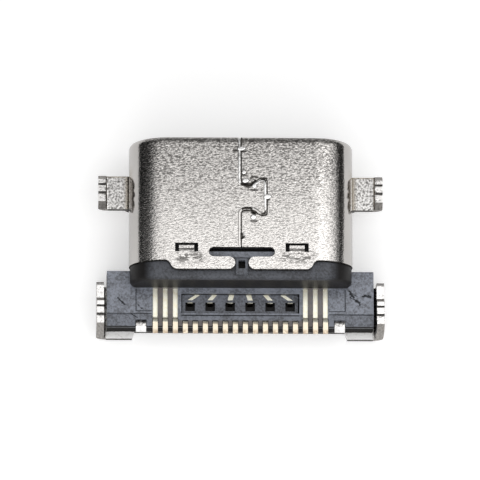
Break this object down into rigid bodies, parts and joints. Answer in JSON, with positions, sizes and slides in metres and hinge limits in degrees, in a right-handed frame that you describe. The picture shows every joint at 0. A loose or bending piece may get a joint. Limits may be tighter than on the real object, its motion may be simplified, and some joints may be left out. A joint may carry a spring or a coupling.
{
  "type": "charging port connector",
  "caption": "Sunk-mount charging socket: rolled steel shell with a dovetailed seam on a bent bracket with solder legs, black plastic tail, contact tongue and solder feet.",
  "frame": {"origin": "centre of the socket's mouth, in the plane of its front edge", "axes": "+Y out of the mouth towards the plug, +Z towards the side that meets the board, +X to the right"},
  "size_m": [0.0116, 0.0076, 0.0035],
  "materials": {
    "shell_steel": "satin",
    "bracket_steel": "satin",
    "plate_steel": "satin",
    "pad_steel": "satin",
    "housing_plastic": "satin",
    "tongue_plastic": "satin",
    "contact_gold": "polished"
  },
  "bodies": {
    "root": {"shell": "shell_steel", "bracket": "bracket_steel", "housing": "housing_plastic", "tongue": "tongue_plastic", "mid_plate": "plate_steel", "ground_pad_near": "pad_steel", "ground_pad_far": "pad_steel", "contact_near_1": "contact_gold", "contact_near_2": "contact_gold", "contact_near_3": "contact_gold", "contact_near_4": "contact_gold", "contact_near_5": "contact_gold", "contact_near_6": "contact_gold", "contact_near_7": "contact_gold", "contact_near_8": "contact_gold", "contact_near_9": "contact_gold", "contact_near_10": "contact_gold", "contact_near_11": "contact_gold", "contact_near_12": "contact_gold", "contact_far_1": "contact_gold", "contact_far_2": "contact_gold", "contact_far_3": "contact_gold", "contact_far_4": "contact_gold", "contact_far_5": "contact_gold", "contact_far_6": "contact_gold", "contact_far_7": "contact_gold", "contact_far_8": "contact_gold", "contact_far_9": "contact_gold", "contact_far_10": "contact_gold", "contact_far_11": "contact_gold", "contact_far_12": "contact_gold"}
  },
  "joints": []
}
